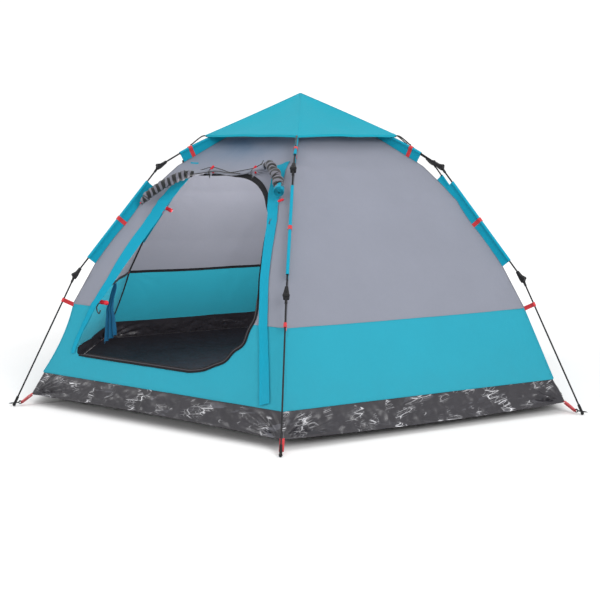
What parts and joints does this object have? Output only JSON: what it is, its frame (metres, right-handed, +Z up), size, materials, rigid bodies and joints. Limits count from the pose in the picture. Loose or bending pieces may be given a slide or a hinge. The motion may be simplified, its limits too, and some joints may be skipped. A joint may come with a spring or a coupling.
{
  "type": "pop up tent",
  "caption": "Hexagonal quick-up camping tent: folding umbrella frame outside a two-colour canopy with a D-shaped door, roof cap and black floor tub.",
  "frame": {"origin": "on the ground, straight below the hub, which is the centre of the hexagon of feet", "axes": "+Z up; +X towards leg 1; the door wall faces -Y, between legs 5 and 6; legs are numbered anticlockwise from above"},
  "size_m": [3.1534, 2.7318, 1.5],
  "materials": {
    "pole_fibreglass": "satin",
    "knuckle_plastic": "matte",
    "foot_plastic": "matte",
    "bright_steel": "satin",
    "zip_metal": "satin",
    "grey_polyester": "matte",
    "blue_polyester": "matte",
    "vent_mesh": "matte",
    "floor_sheet": "satin",
    "tub_film": "gloss",
    "red_webbing": "matte"
  },
  "bodies": {
    "fabric": {"groundsheet": "floor_sheet", "tub_wall": "tub_film", "canopy": "grey_polyester", "mesh_roof": "vent_mesh", "rolled_door": "grey_polyester", "inner_door": "vent_mesh"},
    "hub": {"hub_body": "knuckle_plastic", "hub_cover": "knuckle_plastic", "hub_ring": "bright_steel", "hub_rivet": "bright_steel"},
    "roof_cap": {"roof_cap": "blue_polyester"},
    "door_zip": {"door_zip_slider": "zip_metal"},
    "upper_1": {"upper_pole_1": "pole_fibreglass", "upper_knuckle_1": "knuckle_plastic"},
    "middle_1": {"upper_tongue_1": "knuckle_plastic", "middle_pole_1": "pole_fibreglass", "lower_knuckle_1": "knuckle_plastic"},
    "lower_1": {"lower_tongue_1": "knuckle_plastic", "lower_pole_1": "pole_fibreglass", "foot_1": "foot_plastic"},
    "upper_2": {"upper_pole_2": "pole_fibreglass", "upper_knuckle_2": "knuckle_plastic"},
    "middle_2": {"upper_tongue_2": "knuckle_plastic", "middle_pole_2": "pole_fibreglass", "lower_knuckle_2": "knuckle_plastic"},
    "lower_2": {"lower_tongue_2": "knuckle_plastic", "lower_pole_2": "pole_fibreglass", "foot_2": "foot_plastic"},
    "upper_3": {"upper_pole_3": "pole_fibreglass", "upper_knuckle_3": "knuckle_plastic"},
    "middle_3": {"upper_tongue_3": "knuckle_plastic", "middle_pole_3": "pole_fibreglass", "lower_knuckle_3": "knuckle_plastic"},
    "lower_3": {"lower_tongue_3": "knuckle_plastic", "lower_pole_3": "pole_fibreglass", "foot_3": "foot_plastic"},
    "upper_4": {"upper_pole_4": "pole_fibreglass", "upper_knuckle_4": "knuckle_plastic"},
    "middle_4": {"upper_tongue_4": "knuckle_plastic", "middle_pole_4": "pole_fibreglass", "lower_knuckle_4": "knuckle_plastic"},
    "lower_4": {"lower_tongue_4": "knuckle_plastic", "lower_pole_4": "pole_fibreglass", "foot_4": "foot_plastic"},
    "upper_5": {"upper_pole_5": "pole_fibreglass", "upper_knuckle_5": "knuckle_plastic"},
    "middle_5": {"upper_tongue_5": "knuckle_plastic", "middle_pole_5": "pole_fibreglass", "lower_knuckle_5": "knuckle_plastic"},
    "lower_5": {"lower_tongue_5": "knuckle_plastic", "lower_pole_5": "pole_fibreglass", "foot_5": "foot_plastic"},
    "upper_6": {"upper_pole_6": "pole_fibreglass", "upper_knuckle_6": "knuckle_plastic"},
    "middle_6": {"upper_tongue_6": "knuckle_plastic", "middle_pole_6": "pole_fibreglass", "lower_knuckle_6": "knuckle_plastic"},
    "lower_6": {"lower_tongue_6": "knuckle_plastic", "lower_pole_6": "pole_fibreglass", "foot_6": "foot_plastic"}
  },
  "joints": [
    {"name": "hub_drop", "type": "slide", "parent": "fabric", "child": "hub", "axis": [0, 0, -1], "range_m": [0, 1.232], "deforming": ["tub_wall", "canopy", "mesh_roof", "rolled_door", "inner_door", "roof_cap"]},
    {"name": "hub_pivot_1", "type": "hinge", "parent": "hub", "child": "upper_1", "pos_m": [0.04, 0, 1.4], "axis": [0, -1, 0], "range_deg": [-70, 19]},
    {"name": "upper_fold_1", "type": "hinge", "parent": "upper_1", "child": "middle_1", "pos_m": [0.804, 0, 1.136], "axis": [0, -1, 0], "range_deg": [0, 187]},
    {"name": "lower_fold_1", "type": "hinge", "parent": "middle_1", "child": "lower_1", "pos_m": [1.243, 0, 0.616], "axis": [0, -1, 0], "range_deg": [0, 187]},
    {"name": "hub_pivot_2", "type": "hinge", "parent": "hub", "child": "upper_2", "pos_m": [0.02, 0.03464, 1.4], "axis": [0.866, -0.5, 0], "range_deg": [-70, 19]},
    {"name": "upper_fold_2", "type": "hinge", "parent": "upper_2", "child": "middle_2", "pos_m": [0.402, 0.69628, 1.136], "axis": [0.866, -0.5, 0], "range_deg": [0, 187]},
    {"name": "lower_fold_2", "type": "hinge", "parent": "middle_2", "child": "lower_2", "pos_m": [0.6215, 1.07647, 0.616], "axis": [0.866, -0.5, 0], "range_deg": [0, 187]},
    {"name": "hub_pivot_3", "type": "hinge", "parent": "hub", "child": "upper_3", "pos_m": [-0.02, 0.03464, 1.4], "axis": [0.866, 0.5, 0], "range_deg": [-70, 19]},
    {"name": "upper_fold_3", "type": "hinge", "parent": "upper_3", "child": "middle_3", "pos_m": [-0.402, 0.69628, 1.136], "axis": [0.866, 0.5, 0], "range_deg": [0, 187]},
    {"name": "lower_fold_3", "type": "hinge", "parent": "middle_3", "child": "lower_3", "pos_m": [-0.6215, 1.07647, 0.616], "axis": [0.866, 0.5, 0], "range_deg": [0, 187]},
    {"name": "hub_pivot_4", "type": "hinge", "parent": "hub", "child": "upper_4", "pos_m": [-0.04, 0, 1.4], "axis": [0, 1, 0], "range_deg": [-70, 19]},
    {"name": "upper_fold_4", "type": "hinge", "parent": "upper_4", "child": "middle_4", "pos_m": [-0.804, 0, 1.136], "axis": [0, 1, 0], "range_deg": [0, 187]},
    {"name": "lower_fold_4", "type": "hinge", "parent": "middle_4", "child": "lower_4", "pos_m": [-1.243, 0, 0.616], "axis": [0, 1, 0], "range_deg": [0, 187]},
    {"name": "hub_pivot_5", "type": "hinge", "parent": "hub", "child": "upper_5", "pos_m": [-0.02, -0.03464, 1.4], "axis": [-0.866, 0.5, 0], "range_deg": [-70, 19]},
    {"name": "upper_fold_5", "type": "hinge", "parent": "upper_5", "child": "middle_5", "pos_m": [-0.402, -0.69628, 1.136], "axis": [-0.866, 0.5, 0], "range_deg": [0, 187]},
    {"name": "lower_fold_5", "type": "hinge", "parent": "middle_5", "child": "lower_5", "pos_m": [-0.6215, -1.07647, 0.616], "axis": [-0.866, 0.5, 0], "range_deg": [0, 187]},
    {"name": "hub_pivot_6", "type": "hinge", "parent": "hub", "child": "upper_6", "pos_m": [0.02, -0.03464, 1.4], "axis": [-0.866, -0.5, 0], "range_deg": [-70, 19]},
    {"name": "upper_fold_6", "type": "hinge", "parent": "upper_6", "child": "middle_6", "pos_m": [0.402, -0.69628, 1.136], "axis": [-0.866, -0.5, 0], "range_deg": [0, 187]},
    {"name": "lower_fold_6", "type": "hinge", "parent": "middle_6", "child": "lower_6", "pos_m": [0.6215, -1.07647, 0.616], "axis": [-0.866, -0.5, 0], "range_deg": [0, 187]},
    {"name": "cap_lift", "type": "slide", "parent": "hub", "child": "roof_cap", "axis": [0, 0, 1], "range_m": [0, 0.35]},
    {"name": "zip_travel", "type": "slide", "parent": "fabric", "child": "door_zip", "axis": [0.3225, -0.5247, -0.7879], "range_m": [0, 0.272]}
  ],
  "couplings": [
    {"joint": "hub_pivot_1", "follows": "hub_drop", "rad_per_m": 0.24208},
    {"joint": "upper_fold_1", "follows": "hub_drop", "rad_per_m": 0.37173},
    {"joint": "lower_fold_1", "follows": "hub_drop", "rad_per_m": 2.6323},
    {"joint": "hub_pivot_2", "follows": "hub_drop", "rad_per_m": 0.24208},
    {"joint": "upper_fold_2", "follows": "hub_drop", "rad_per_m": 0.37173},
    {"joint": "lower_fold_2", "follows": "hub_drop", "rad_per_m": 2.6323},
    {"joint": "hub_pivot_3", "follows": "hub_drop", "rad_per_m": 0.24208},
    {"joint": "upper_fold_3", "follows": "hub_drop", "rad_per_m": 0.37173},
    {"joint": "lower_fold_3", "follows": "hub_drop", "rad_per_m": 2.6323},
    {"joint": "hub_pivot_4", "follows": "hub_drop", "rad_per_m": 0.24208},
    {"joint": "upper_fold_4", "follows": "hub_drop", "rad_per_m": 0.37173},
    {"joint": "lower_fold_4", "follows": "hub_drop", "rad_per_m": 2.6323},
    {"joint": "hub_pivot_5", "follows": "hub_drop", "rad_per_m": 0.24208},
    {"joint": "upper_fold_5", "follows": "hub_drop", "rad_per_m": 0.37173},
    {"joint": "lower_fold_5", "follows": "hub_drop", "rad_per_m": 2.6323},
    {"joint": "hub_pivot_6", "follows": "hub_drop", "rad_per_m": 0.24208},
    {"joint": "upper_fold_6", "follows": "hub_drop", "rad_per_m": 0.37173},
    {"joint": "lower_fold_6", "follows": "hub_drop", "rad_per_m": 2.6323}
  ]
}
